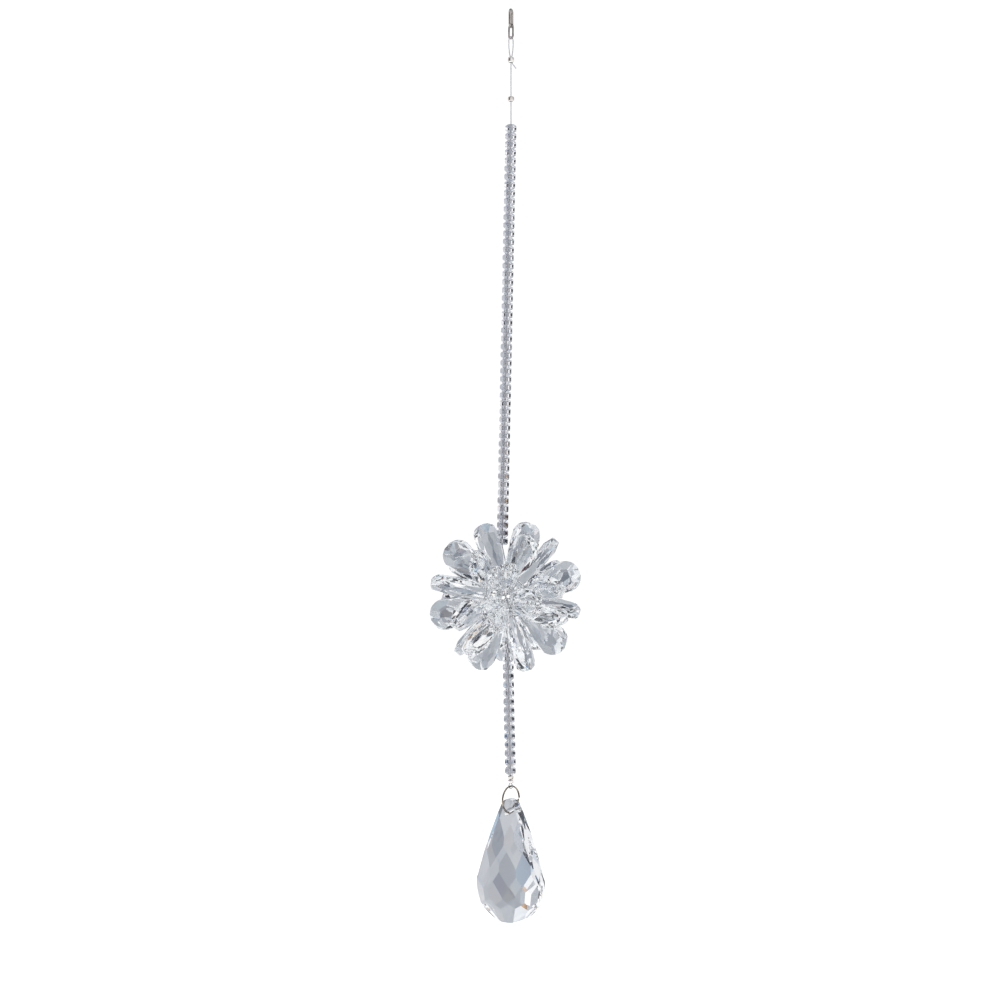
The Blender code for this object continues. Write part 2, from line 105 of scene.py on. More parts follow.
# Greyer and darker places in the room: azimuth from straight behind towards the right, elevation,
# half angle, softness of the edge, and brightness.
PATCHES = (
    (50, 20, 17, 6, 0.50),
    (18, 44, 18, 6, 0.52),
    (2, -2, 8, 4, 0.25),
    (0, -10, 5, 3, 0.35),
    (20, -9, 5, 3, 0.46),
    (36, -10, 7, 3, 0.50),
    (4, -27, 7, 3, 0.55),
    (-12, -22, 5, 3, 0.62),
    (-27, -15, 6, 3, 0.60),
    (-40, -33, 8, 3, 0.78),
    (-22, 4, 5, 3, 0.47),
    (-64, 2, 15, 6, 0.98),
    (84, 36, 12, 5, 1.05),
    (150, 24, 20, 10, 1.05),
    (0, 88, 30, 5, 0.03),
    (180, -6, 13, 4, 0.10),
    (-168, 42, 9, 3, 0.02),
    (112, 48, 9, 3, 0.02),
    (-70, 60, 9, 3, 0.02),
    (74, -68, 12, 4, 0.03),
    (62, -44, 12, 4, 0.12),
    (-150, -30, 12, 4, 0.12),
    (-96, 28, 10, 3, 0.02),
    (-122, -38, 10, 3, 0.05),
    (-70, -36, 7, 3, 0.06),
    (96, 0, 9, 3, 0.02),
    (-106, 2, 16, 3, 0.01),
    (34, 58, 6, 2, 0.03),
    (58, -8, 4, 2, 0.05),
    (132, -14, 12, 3, 0.03),
    (-140, 10, 11, 3, 0.03),
    (-24, 58, 8, 2, 0.03),
    (16, -56, 11, 3, 0.03),
)


def lay_over(group, direction, azimuth, elevation, reach, brightness):
    """A mix that lays a round place over the light in its input A. The edge fades over reach."""
    level = cos(radians(elevation))
    facing = group.nodes.new("ShaderNodeVectorMath")
    facing.operation = "DOT_PRODUCT"
    facing.inputs[1].default_value = (
        level * sin(radians(azimuth)), level * cos(radians(azimuth)), sin(radians(elevation)),
    )
    group.links.new(direction, facing.inputs[0])
    inside = group.nodes.new("ShaderNodeMapRange")
    inside.interpolation_type = "SMOOTHSTEP"
    inside.inputs["From Min"].default_value = cos(radians(reach[1]))
    inside.inputs["From Max"].default_value = cos(radians(reach[0]))
    group.links.new(facing.outputs["Value"], inside.inputs["Value"])
    mix = group.nodes.new("ShaderNodeMix")
    mix.data_type = "FLOAT"
    mix.inputs["B"].default_value = brightness
    group.links.new(inside.outputs["Result"], mix.inputs["Factor"])
    return mix


def room_light():
    """A node group: the light that comes to the ornament from a direction, one colour at a time."""
    group = bpy.data.node_groups.new("room_light", "ShaderNodeTree")
    group.interface.new_socket("Direction", in_out="INPUT", socket_type="NodeSocketVector")
    group.interface.new_socket("Tint", in_out="INPUT", socket_type="NodeSocketFloat")
    group.interface.new_socket("Light", in_out="OUTPUT", socket_type="NodeSocketFloat")
    start = group.nodes.new("NodeGroupInput")
    end = group.nodes.new("NodeGroupOutput")
    direction = start.outputs["Direction"]
    drift = group.nodes.new("ShaderNodeTexNoise")
    drift.inputs["Scale"].default_value = DRIFT_SCALE
    drift.inputs["Detail"].default_value = 0.0
    group.links.new(direction, drift.inputs["Vector"])
    tone = group.nodes.new("ShaderNodeMapRange")
    tone.inputs["From Min"].default_value, tone.inputs["From Max"].default_value = DRIFT_SPREAD
    tone.inputs["To Min"].default_value, tone.inputs["To Max"].default_value = DRIFT
    group.links.new(drift.outputs["Fac"], tone.inputs["Value"])
    board = lay_over(group, direction, BOARD_AZIMUTH, 0, BOARD_REACH, BOARD_GREY)
    board.inputs["A"].default_value = ROOM_WHITE
    uneven = group.nodes.new("ShaderNodeMath")
    uneven.operation = "MULTIPLY"
    group.links.new(board.outputs["Result"], uneven.inputs[0])
    group.links.new(tone.outputs["Result"], uneven.inputs[1])
    light = uneven.outputs["Value"]
    for azimuth, elevation, half_angle, softness, brightness in PATCHES:
        reach = (half_angle, half_angle + softness)
        patch = lay_over(group, direction, azimuth, elevation, reach, brightness)
        group.links.new(light, patch.inputs["A"])
        light = patch.outputs["Result"]
    tinted = group.nodes.new("ShaderNodeMath")
    tinted.operation = "POWER"
    group.links.new(light, tinted.inputs[0])
    group.links.new(start.outputs["Tint"], tinted.inputs[1])
    group.links.new(tinted.outputs["Value"], end.inputs["Light"])
    return group


studio = bpy.data.worlds.new("studio")
studio.use_nodes = True
bpy.context.scene.world = studio
room = studio.node_tree
room.nodes.clear()
towards = room.nodes.new("ShaderNodeTexCoord")
gathered = room.nodes.new("ShaderNodeCombineColor")
light_group = room_light()
for channel, split in enumerate((-COLOUR_SPLIT, 0.0, COLOUR_SPLIT)):
    turned = room.nodes.new("ShaderNodeVectorRotate")
    turned.rotation_type = "AXIS_ANGLE"
    turned.inputs["Axis"].default_value = SPLIT_AXIS
    turned.inputs["Angle"].default_value = split
    room.links.new(towards.outputs["Generated"], turned.inputs["Vector"])
    seen = room.nodes.new("ShaderNodeGroup")
    seen.node_tree = light_group
    seen.inputs["Tint"].default_value = TINT[channel]
    room.links.new(turned.outputs["Vector"], seen.inputs["Direction"])
    room.links.new(seen.outputs["Light"], gathered.inputs[channel])
gathered_light = room.nodes.new("ShaderNodeBackground")
room.links.new(gathered.outputs["Color"], gathered_light.inputs["Color"])
page = room.nodes.new("ShaderNodeBackground")
page.inputs["Color"].default_value = (1, 1, 1, 1)
page.inputs["Strength"].default_value = PAGE_WHITE
path = room.nodes.new("ShaderNodeLightPath")
choice = room.nodes.new("ShaderNodeMixShader")
room.links.new(path.outputs["Is Camera Ray"], choice.inputs["Fac"])
room.links.new(gathered_light.outputs["Background"], choice.inputs[1])
room.links.new(page.outputs["Background"], choice.inputs[2])
world_output = room.nodes.new("ShaderNodeOutputWorld")
room.links.new(choice.outputs["Shader"], world_output.inputs["Surface"])

floor_mesh = bpy.data.meshes.new("floor")
floor_bm = bmesh.new()
bmesh.ops.create_circle(
    floor_bm, cap_ends=True, segments=FLOOR_SIDES, radius=FLOOR_RADIUS,
    matrix=Matrix.Translation((0, 0, cad_low.z - FLOOR_DROP)),
)
floor_bm.to_mesh(floor_mesh)
floor_bm.free()
floor = bpy.data.objects.new("floor", floor_mesh)
bpy.context.scene.collection.objects.link(floor)
floor_paint = bpy.data.materials.new("pale_floor")
floor_paint.use_nodes = True
floor_shader = floor_paint.node_tree.nodes["Principled BSDF"]
floor_shader.inputs["Base Color"].default_value = (*[FLOOR_TONE] * 3, 1)
floor_shader.inputs["Roughness"].default_value = FLOOR_ROUGHNESS
floor_shader.inputs["Emission Color"].default_value = (1, 1, 1, 1)
floor_shader.inputs["Emission Strength"].default_value = FLOOR_GLOW
floor_mesh.materials.append(floor_paint)
floor.visible_transmission = False

softbox = bpy.data.lights.new("softbox", "AREA")
softbox.shape = "DISK"
softbox.size = SOFTBOX_SIZE
softbox.energy = SOFTBOX_POWER
softbox_object = bpy.data.objects.new("softbox", softbox)
softbox_object.location = SOFTBOX_PLACE
softbox_object.rotation_euler = SOFTBOX_TURN
softbox_object.visible_glossy = False
softbox_object.visible_transmission = False
bpy.context.scene.collection.objects.link(softbox_object)


# The two links at the very top: small closed ovals of round steel wire, bent and closed, one
# hanging in the other. The upper one goes over the hook and is seen nearly edge-on.
GAP = 0.0003
HANGING_LINK_LENGTH = 0.0078
HANGING_LINK_WIDTH = 0.0036
HANGING_LINK_WIRE = 0.0009
HANGING_LINK_TURN = radians(68)
SECOND_LINK_LENGTH = 0.0064
SECOND_LINK_WIDTH = 0.0034
SECOND_LINK_WIRE = 0.0007
SECOND_LINK_TURN = radians(-55)
LINK_BEND_STEPS = 16
WIRE_SIDES = 16
METAL_CLOUDS = 350.0
METAL_TONE_PLACES = (0.35, 0.65)
METAL_DULLING = (0.6, 1.6)
METAL_MARKS = 3000.0
METAL_MARK_STRENGTH = 0.1
METAL_MARK_DEPTH = 0.00001


def new_tree(name, inputs):
    """An empty Geometry Nodes tree with named inputs. Returns it with its first and last node."""
    tree = bpy.data.node_groups.new(name, "GeometryNodeTree")
    tree.interface.new_socket("Geometry", in_out="INPUT", socket_type="NodeSocketGeometry")
    for label, kind in inputs:
        tree.interface.new_socket(label, in_out="INPUT", socket_type=kind)
    tree.interface.new_socket("Geometry", in_out="OUTPUT", socket_type="NodeSocketGeometry")
    return tree, tree.nodes.new("NodeGroupInput"), tree.nodes.new("NodeGroupOutput")


def times(tree, value, factor):
    """A value of the tree multiplied by a constant."""
    product = tree.nodes.new("ShaderNodeMath")
    product.operation = "MULTIPLY"
    product.inputs[1].default_value = factor
    tree.links.new(value, product.inputs[0])
    return product.outputs["Value"]


def wire_tree():
    """Round wire of a given thickness along every run of edges, capped where a run ends."""
    tree, start, end = new_tree("drawn_wire", (
        ("Thickness", "NodeSocketFloat"),
        ("Sides", "NodeSocketInt"),
        ("Finish", "NodeSocketMaterial"),
    ))
    centre_line = tree.nodes.new("GeometryNodeMeshToCurve")
    section = tree.nodes.new("GeometryNodeCurvePrimitiveCircle")
    sweep = tree.nodes.new("GeometryNodeCurveToMesh")
    sweep.inputs["Fill Caps"].default_value = True
    smooth = tree.nodes.new("GeometryNodeSetShadeSmooth")
    realize = tree.nodes.new("GeometryNodeRealizeInstances")
    finish = tree.nodes.new("GeometryNodeSetMaterial")
    tree.links.new(start.outputs["Geometry"], centre_line.inputs["Mesh"])
    tree.links.new(times(tree, start.outputs["Thickness"], 0.5), section.inputs["Radius"])
    tree.links.new(start.outputs["Sides"], section.inputs["Resolution"])
    tree.links.new(centre_line.outputs["Curve"], sweep.inputs["Curve"])
    tree.links.new(section.outputs["Curve"], sweep.inputs["Profile Curve"])
    tree.links.new(sweep.outputs["Mesh"], smooth.inputs["Geometry"])
    tree.links.new(smooth.outputs["Geometry"], realize.inputs["Geometry"])
    tree.links.new(realize.outputs["Geometry"], finish.inputs["Geometry"])
    tree.links.new(start.outputs["Finish"], finish.inputs["Material"])
    tree.links.new(finish.outputs["Geometry"], end.inputs["Geometry"])
    return tree


def grow(name, base, tree, values):
    """A piece at the origin with the plain mesh that a tree makes from a base mesh."""
    piece = bpy.data.objects.new(name, base)
    bpy.context.scene.collection.objects.link(piece)
    modifier = piece.modifiers.new("Grow", "NODES")
    modifier.node_group = tree
    for socket in tree.interface.items_tree:
        if socket.in_out == "INPUT" and socket.name in values:
            modifier[socket.identifier] = values[socket.name]
    bpy.context.view_layer.update()
    grown = piece.evaluated_get(bpy.context.evaluated_depsgraph_get())
    mesh = bpy.data.meshes.new_from_object(grown)
    piece.modifiers.remove(modifier)
    piece.data = mesh
    return piece


def runs_mesh(name, runs, closed=False):
    """A mesh of edges only: each run is a list of points, closed on itself or open."""
    points = [point for run in runs for point in run]
    edges = []
    first = 0
    for run in runs:
        edges += [(first + step, first + step + 1) for step in range(len(run) - 1)]
        if closed:
            edges.append((first + len(run) - 1, first))
        first += len(run)
    mesh = bpy.data.meshes.new(name)
    mesh.from_pydata(points, edges, [])
    return mesh


def oval(length, width):
    """Centre line of an upright oval link in the XZ plane: two half circles and two straights."""
    radius = width / 2
    straight = length / 2 - radius
    points = []
    for side in (1, -1):
        for step in range(LINK_BEND_STEPS + 1):
            angle = pi * step / LINK_BEND_STEPS
            height = straight + radius * sin(angle)
            points.append(Vector((side * radius * cos(angle), 0, side * height)))
    return points


def surface(name):
    """A new material, its shader, and the object coordinates that its noise reads."""
    material = bpy.data.materials.new(name)
    material.use_nodes = True
    where = material.node_tree.nodes.new("ShaderNodeTexCoord")
    return material, material.node_tree.nodes["Principled BSDF"], where.outputs["Object"]


def grain(material, where, scale, detail=2.0):
    """Noise with about so many grains to a metre."""
    noise = material.node_tree.nodes.new("ShaderNodeTexNoise")
    noise.inputs["Scale"].default_value = scale
    noise.inputs["Detail"].default_value = detail
    material.node_tree.links.new(where, noise.inputs["Vector"])
    return noise.outputs["Fac"]


def paint(material, shader, noise, low, high, places=(0.0, 1.0)):
    """The colour goes from one tone to another as the noise rises between two places."""
    ramp = material.node_tree.nodes.new("ShaderNodeValToRGB")
    for element, place, tone in zip(ramp.color_ramp.elements, places, (low, high)):
        element.position = place
        element.color = (*tone, 1)
    material.node_tree.links.new(noise, ramp.inputs["Fac"])
    material.node_tree.links.new(ramp.outputs["Color"], shader.inputs["Base Color"])


def dull(material, shader, noise, roughness, places=(0.0, 1.0)):
    """The roughness goes from one value to another as the noise rises between two places."""
    change = material.node_tree.nodes.new("ShaderNodeMapRange")
    for label, value in zip(("From Min", "From Max", "To Min", "To Max"), (*places, *roughness)):
        change.inputs[label].default_value = value
    material.node_tree.links.new(noise, change.inputs["Value"])
    material.node_tree.links.new(change.outputs["Result"], shader.inputs["Roughness"])


def relief(material, shader, noise, strength, depth):
    """The surface rises a little where the noise is high."""
    bump = material.node_tree.nodes.new("ShaderNodeBump")
    bump.inputs["Strength"].default_value = strength
    bump.inputs["Distance"].default_value = depth
    material.node_tree.links.new(noise, bump.inputs["Height"])
    material.node_tree.links.new(bump.outputs["Normal"], shader.inputs["Normal"])


def worn_metal(name, colour, shade, roughness):
    """Polished plated wire: a tone that drifts a little, fine drawing marks and dull patches."""
    material, shader, where = surface(name)
    shader.inputs["Metallic"].default_value = 1.0
    clouds = grain(material, where, METAL_CLOUDS)
    paint(material, shader, clouds, shade, colour, METAL_TONE_PLACES)
    dull(material, shader, clouds, [roughness * share for share in METAL_DULLING])
    relief(material, shader, grain(material, where, METAL_MARKS), METAL_MARK_STRENGTH, METAL_MARK_DEPTH)
    return material


DRAWN_WIRE = wire_tree()
LINK_STEEL = worn_metal("link_steel", (0.50, 0.47, 0.46), (0.22, 0.20, 0.19), 0.10)

inner_top = 0.0
for link_name, length, width, thickness, turn in (
    ("hanging_link", HANGING_LINK_LENGTH, HANGING_LINK_WIDTH, HANGING_LINK_WIRE, HANGING_LINK_TURN),
    ("second_link", SECOND_LINK_LENGTH, SECOND_LINK_WIDTH, SECOND_LINK_WIRE, SECOND_LINK_TURN),
):
    centre_line = runs_mesh(link_name, [oval(length - thickness, width - thickness)], closed=True)
    middle = inner_top - (length / 2 - thickness)
    centre_line.transform(Matrix.Translation((0, 0, middle)) @ Matrix.Rotation(turn, 4, "Z"))
    link = grow(link_name + "_wire", centre_line, DRAWN_WIRE, {
        "Thickness": thickness, "Sides": WIRE_SIDES, "Finish": LINK_STEEL,
    })
    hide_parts(link_name)
    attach(link, "root")
    inner_bottom = inner_top - (length - 2 * thickness)
    inner_top = inner_bottom + GAP


# The bare clear line at the top and its crimps. The line is thin nylon. A crimp is a short
# silver-plated tube, squeezed flat around two strands of it.
LINE = 0.00042
TOP_LOOP_LENGTH = 0.0082
TOP_LOOP_WIDTH = 0.0025
BARE_LINE_ABOVE_STOP = 0.0136
BARE_LINE_BELOW_STOP = 0.0092
TOP_CRIMP_HEIGHT = 0.0020
STOP_CRIMP_HEIGHT = 0.0018
END_CRIMP_HEIGHT = 0.0013
CRIMP_FILL = 2.5
CRIMP_WALL = 0.0004
CRIMP_BORE = CRIMP_FILL * LINE + 2 * GAP
CRIMP_OUTER = CRIMP_BORE / 2 + CRIMP_WALL
CRIMP_RIM = 0.25
CRIMP_ROUNDING = 6
CRIMP_CREASE = radians(50)
CRIMP_STEPS = 12
CRIMP_SEGMENTS = 40

CRIMP_SILVER = worn_metal("crimp_silver", (0.88, 0.86, 0.84), (0.58, 0.55, 0.53), 0.10)

loop_top = Vector((0, 0, inner_bottom + GAP + LINE / 2))
loop_foot = loop_top - Vector((0, 0, TOP_LOOP_LENGTH))
stop_top = loop_foot - Vector((0, 0, TOP_CRIMP_HEIGHT + BARE_LINE_ABOVE_STOP))
upper_top = stop_top - Vector((0, 0, STOP_CRIMP_HEIGHT + BARE_LINE_BELOW_STOP))


def crimp(name, top, height, dent, turn):
    """A short tube with rolled rims, pressed with a dent across its middle."""
    inner = CRIMP_BORE / 2
    wall = CRIMP_OUTER - inner
    section = []
    for step in range(CRIMP_STEPS + 1):
        share = step / CRIMP_STEPS
        rim = sqrt(max(1.0 - (2 * share - 1) ** CRIMP_ROUNDING, 0.0))
        section.append((inner + wall * (CRIMP_RIM + (1 - CRIMP_RIM) * rim), -height * share))
    section.append((inner, -height))
    section.append((inner, 0.0))
    bm = bmesh.new()
    rings = []
    for radius, z in section:
        ring = []
        for segment in range(CRIMP_SEGMENTS):
            angle = 2 * pi * segment / CRIMP_SEGMENTS
            pressed = dent * sin(pi * -z / height) * max(cos(2 * (angle - turn)), 0.0) ** 2
            reach = radius - pressed * wall * (radius > inner)
            ring.append(bm.verts.new((reach * cos(angle), reach * sin(angle), z)))
        rings.append(ring)
    for upper, lower in zip(rings, rings[1:] + rings[:1]):
        for segment in range(CRIMP_SEGMENTS):
            after = (segment + 1) % CRIMP_SEGMENTS
            bm.faces.new((upper[segment], upper[after], lower[after], lower[segment]))
    bmesh.ops.recalc_face_normals(bm, faces=bm.faces)
    bmesh.ops.translate(bm, verts=bm.verts, vec=top)
    mesh = bpy.data.meshes.new(name)
    bm.to_mesh(mesh)
    bm.free()
    mesh.shade_smooth()
    mesh.set_sharp_from_angle(angle=CRIMP_CREASE)
    mesh.materials.append(CRIMP_SILVER)
    piece = bpy.data.objects.new(name + "_tube", mesh)
    bpy.context.scene.collection.objects.link(piece)
    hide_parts(name)
    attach(piece, "root")


crimp("loop_crimp", loop_foot, TOP_CRIMP_HEIGHT, dent=0.7, turn=radians(-40))
crimp("stop_crimp", stop_top, STOP_CRIMP_HEIGHT, dent=0.6, turn=radians(-70))


# The two strands of beads: small faceted glass rondelles threaded neck to neck on the line. Each
# is ground with a belt of facets and a ring of facets above and below it, then drilled.
BEAD_RADIUS = 0.00214
BEAD_SIDES = 6
BEAD_SLOPE = radians(52)
BEAD_SHOULDER = 0.00200
BEAD_HOLE = 0.00066
BEAD_HOLE_SIDES = 8
BEAD_CLEARANCE = 0.00003
UPPER_PITCH = 0.0032
UPPER_BEADS = 52
UPPER_LEAN = radians(-1.19)
LOWER_PITCH = 0.0034
LOWER_BEADS = 16
LOWER_LEAN = radians(1.3)
UPPER_SEED = 3
LOWER_SEED = 8
BEAD_TURN = radians(-4)
BEAD_TWIST = radians(3)
BLOCK = 0.2
CUT_TOLERANCE = 1e-8
WELD = 2e-7

# A face belongs to the wall of a hole if its middle is within this share of the hole's width from
# the axis, and it faces the axis as squarely as this.
BORE_REACH = 0.52
BORE_SQUARE = 0.05

# Cut glass: where in its noise the tint sets in, how much finer the haze is, and how dull it gets.
TINT_PLACES = (0.3, 0.75)
HAZE_FINENESS = 6
HAZE_PLACES = (0.55, 0.8)
HAZE_ROUGHNESS = (0.0, 0.05)
BORE_ROUGHNESS = 0.7
BORE_DUST = 1500.0


def grind(planes):
    """A convex crystal: a block cut by planes, each given by a point and its outward normal."""
    bm = bmesh.new()
    bmesh.ops.create_cube(bm, size=BLOCK)
    for point, normal in planes:
        cut = bmesh.ops.bisect_plane(
            bm, geom=bm.verts[:] + bm.edges[:] + bm.faces[:], dist=CUT_TOLERANCE,
            plane_co=point, plane_no=normal, clear_outer=True,
        )
        rim = [item for item in cut["geom_cut"] if isinstance(item, bmesh.types.BMEdge)]
        if rim:
            bmesh.ops.contextual_create(bm, geom=rim)
    bmesh.ops.remove_doubles(bm, verts=bm.verts, dist=WELD)
    bmesh.ops.dissolve_degenerate(bm, edges=bm.edges, dist=WELD)
    bmesh.ops.recalc_face_normals(bm, faces=bm.faces)
    return bm


def drilled(name, bm, hole, sides, turn):
    """The crystal with a round hole through the origin, along Z turned by a matrix.

    The faces of the hole are marked with the attribute bore.
    """
    blank = bpy.data.meshes.new(name)
    bm.to_mesh(blank)
    bm.free()
    drill_bm = bmesh.new()
    bmesh.ops.create_cone(
        drill_bm, cap_ends=True, segments=sides, radius1=hole / 2, radius2=hole / 2,
        depth=BLOCK, matrix=turn,
    )
    bmesh.ops.recalc_face_normals(drill_bm, faces=drill_bm.faces)
    drill_mesh = bpy.data.meshes.new("drill")
    drill_bm.to_mesh(drill_mesh)
    drill_bm.free()
    drill = bpy.data.objects.new("drill", drill_mesh)
    host = bpy.data.objects.new(name, blank)
    for item in (drill, host):
        bpy.context.scene.collection.objects.link(item)
    bore = host.modifiers.new("Bore", "BOOLEAN")
    bore.operation = "DIFFERENCE"
    bore.object = drill
    bore.solver = "EXACT"
    bpy.context.view_layer.update()
    mesh = bpy.data.meshes.new_from_object(host.evaluated_get(bpy.context.evaluated_depsgraph_get()))
    bpy.data.objects.remove(host)
    bpy.data.objects.remove(drill)
    axis = turn.to_3x3() @ Vector((0, 0, 1))
    bore_faces = mesh.attributes.new("bore", "BOOLEAN", "FACE")
    for mark, face in zip(bore_faces.data, mesh.polygons):
        radial = face.center - face.center.dot(axis) * axis
        mark.value = radial.length < hole * BORE_REACH and abs(face.normal.dot(axis)) < BORE_SQUARE
    return mesh


def rondelle(name, height):
    """One bead, its hole along Z, its middle at the origin."""
    planes = [(Vector((0, 0, side * height / 2)), Vector((0, 0, side))) for side in (1, -1)]
    for side in range(BEAD_SIDES):
        around = 2 * pi * side / BEAD_SIDES + BEAD_TURN
        belt = Vector((cos(around), sin(around), 0))
        planes.append((belt * BEAD_RADIUS, belt))
        for slope in (BEAD_SLOPE, -BEAD_SLOPE):
            between = around + pi / BEAD_SIDES
            normal = Vector((cos(between) * cos(slope), sin(between) * cos(slope), sin(slope)))
            planes.append((normal * BEAD_SHOULDER, normal))
    return drilled(name, grind(planes), BEAD_HOLE, BEAD_HOLE_SIDES, Matrix.Identity(4))


def strand_tree():
    """Copies of a bead down a straight line, each turned a little about it by chance."""
    tree, start, end = new_tree("threaded_beads", (
        ("Bead", "NodeSocketObject"),
        ("Count", "NodeSocketInt"),
        ("Pitch", "NodeSocketFloat"),
        ("Twist", "NodeSocketFloat"),
        ("Seed", "NodeSocketInt"),
        ("Finish", "NodeSocketMaterial"),
        ("Bore", "NodeSocketMaterial"),
    ))
    step = tree.nodes.new("ShaderNodeCombineXYZ")
    first = tree.nodes.new("ShaderNodeCombineXYZ")
    row = tree.nodes.new("GeometryNodeMeshLine")
    chance = tree.nodes.new("FunctionNodeRandomValue")
    chance.data_type = "FLOAT"
    turn = tree.nodes.new("ShaderNodeCombineXYZ")
    angles = tree.nodes.new("FunctionNodeEulerToRotation")
    bead = tree.nodes.new("GeometryNodeObjectInfo")
    thread = tree.nodes.new("GeometryNodeInstanceOnPoints")
    realize = tree.nodes.new("GeometryNodeRealizeInstances")
    finish = tree.nodes.new("GeometryNodeSetMaterial")
    in_bore = tree.nodes.new("GeometryNodeInputNamedAttribute")
    in_bore.data_type = "BOOLEAN"
    in_bore.inputs["Name"].default_value = "bore"
    matt = tree.nodes.new("GeometryNodeSetMaterial")
    links = tree.links
    links.new(times(tree, start.outputs["Pitch"], -1.0), step.inputs["Z"])
    links.new(times(tree, start.outputs["Pitch"], -0.5), first.inputs["Z"])
    links.new(start.outputs["Count"], row.inputs["Count"])
    links.new(first.outputs["Vector"], row.inputs["Start Location"])
    links.new(step.outputs["Vector"], row.inputs["Offset"])
    chance_low = [item for item in chance.inputs if item.name == "Min" and item.enabled][0]
    chance_high = [item for item in chance.inputs if item.name == "Max" and item.enabled][0]
    chance_value = [item for item in chance.outputs if item.enabled][0]
    links.new(times(tree, start.outputs["Twist"], -1.0), chance_low)
    links.new(start.outputs["Twist"], chance_high)
    links.new(start.outputs["Seed"], chance.inputs["Seed"])
    links.new(chance_value, turn.inputs["Z"])
    links.new(turn.outputs["Vector"], angles.inputs["Euler"])
    links.new(start.outputs["Bead"], bead.inputs["Object"])
    links.new(row.outputs["Mesh"], thread.inputs["Points"])
    links.new(bead.outputs["Geometry"], thread.inputs["Instance"])
    links.new(angles.outputs["Rotation"], thread.inputs["Rotation"])
    links.new(thread.outputs["Instances"], realize.inputs["Geometry"])
    links.new(realize.outputs["Geometry"], finish.inputs["Geometry"])
    links.new(start.outputs["Finish"], finish.inputs["Material"])
    links.new(in_bore.outputs["Attribute"], matt.inputs["Selection"])
    links.new(finish.outputs["Geometry"], matt.inputs["Geometry"])
    links.new(start.outputs["Bore"], matt.inputs["Material"])
    links.new(matt.outputs["Geometry"], end.inputs["Geometry"])
    return tree


def cut_glass(name, clear, tinted, ior, pull_scale, pull_depth):
    """Clear cut glass: polished flat facets that pull a little, and a tint that drifts in it."""
    material, shader, where = surface(name)
    shader.inputs["Transmission Weight"].default_value = 1.0
    shader.inputs["IOR"].default_value = ior
    pull = grain(material, where, pull_scale, detail=1.0)
    relief(material, shader, pull, 1.0, pull_depth)
    paint(material, shader, pull, clear, tinted, TINT_PLACES)
    haze = grain(material, where, pull_scale * HAZE_FINENESS, detail=3.0)
    dull(material, shader, haze, HAZE_ROUGHNESS, HAZE_PLACES)
    return material


BEAD_GLASS = cut_glass("bead_glass", (0.97, 0.975, 1.0), (0.93, 0.935, 0.98), 1.54, 500.0, 0.00001)
THREADED_BEADS = strand_tree()


def matt_bore(name, dark, light):
    """The wall of a drilled hole, left matt and grey with glass dust."""
    material, shader, where = surface(name)
    shader.inputs["Roughness"].default_value = BORE_ROUGHNESS
    paint(material, shader, grain(material, where, BORE_DUST), dark, light)
    return material


BEAD_BORE = matt_bore("bead_bore", (0.74, 0.74, 0.77), (0.95, 0.95, 0.97))


def strand(name, top, lean, pitch, count, seed):
    """A strand of beads from its top. Returns the lower end of the strand."""
    bead = bpy.data.objects.new("bead", rondelle("bead", pitch - BEAD_CLEARANCE))
    bpy.context.scene.collection.objects.link(bead)
    piece = grow(name + "_beads", bpy.data.meshes.new(name), THREADED_BEADS, {
        "Bead": bead, "Count": count, "Pitch": pitch, "Twist": BEAD_TWIST, "Seed": seed,
        "Finish": BEAD_GLASS, "Bore": BEAD_BORE,
    })
    bpy.data.objects.remove(bead)
    place = Matrix.Translation(top) @ Matrix.Rotation(-lean, 4, "Y")
    piece.data.transform(place)
    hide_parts(name)
    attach(piece, "root")
    return place @ Vector((0, 0, -count * pitch))


upper_end = strand("upper_bead_strand", upper_top, UPPER_LEAN, UPPER_PITCH, UPPER_BEADS, UPPER_SEED)


# The flower: thirty pear drops of cut crystal, drilled through their tips and woven into a ball
# by the line. The drops sit on the edges of a dodecahedron, and lean as they fell when it was
# pulled tight.
WEAVE_RADIUS = 0.0088
UPPER_STRAND_STANDOFF = 0.0117
LOWER_STRAND_STANDOFF = 0.0072
UPPER_STRAND_SIDESTEP = 0.0014
LOWER_STRAND_SIDESTEP = 0.0007
FLOWER_TURN = radians(-13.7)
GOLDEN = (1 + sqrt(5)) / 2
PETAL_LENGTH = 0.0240
PETAL_WIDTH = 0.0124
PETAL_THICKNESS = 0.0056
PETAL_TIP_WIDTH = 0.0026
PETAL_TIP_THICKNESS = 0.0022
PETAL_HOLE_INSET = 0.0020
PETAL_HOLE = LINE * sqrt(2) + 2 * GAP
PETAL_HOLE_SIDES = 16
PROBE = 1e-4
PROBE_ANGLE = 1e-3
EDGE_SLACK = 0.01

# Facets of one face, row by row from the tip: share of the length, degrees from the middle of
# the face towards the rim. Then the shares of the length at which the rim is ground.
PETAL_ROWS = (
    (0.22, (0,)),
    (0.44, (28,)),
    (0.58, (73,)),
    (0.66, (0,)),
    (0.78, (40,)),
    (0.90, (0,)),
)
PETAL_RIM = (0.10, 0.24, 0.42, 0.60, 0.72, 0.82, 0.89, 0.94, 0.975)
TIP_TURNS = (-70, -48, -24, 0, 24, 48, 70)

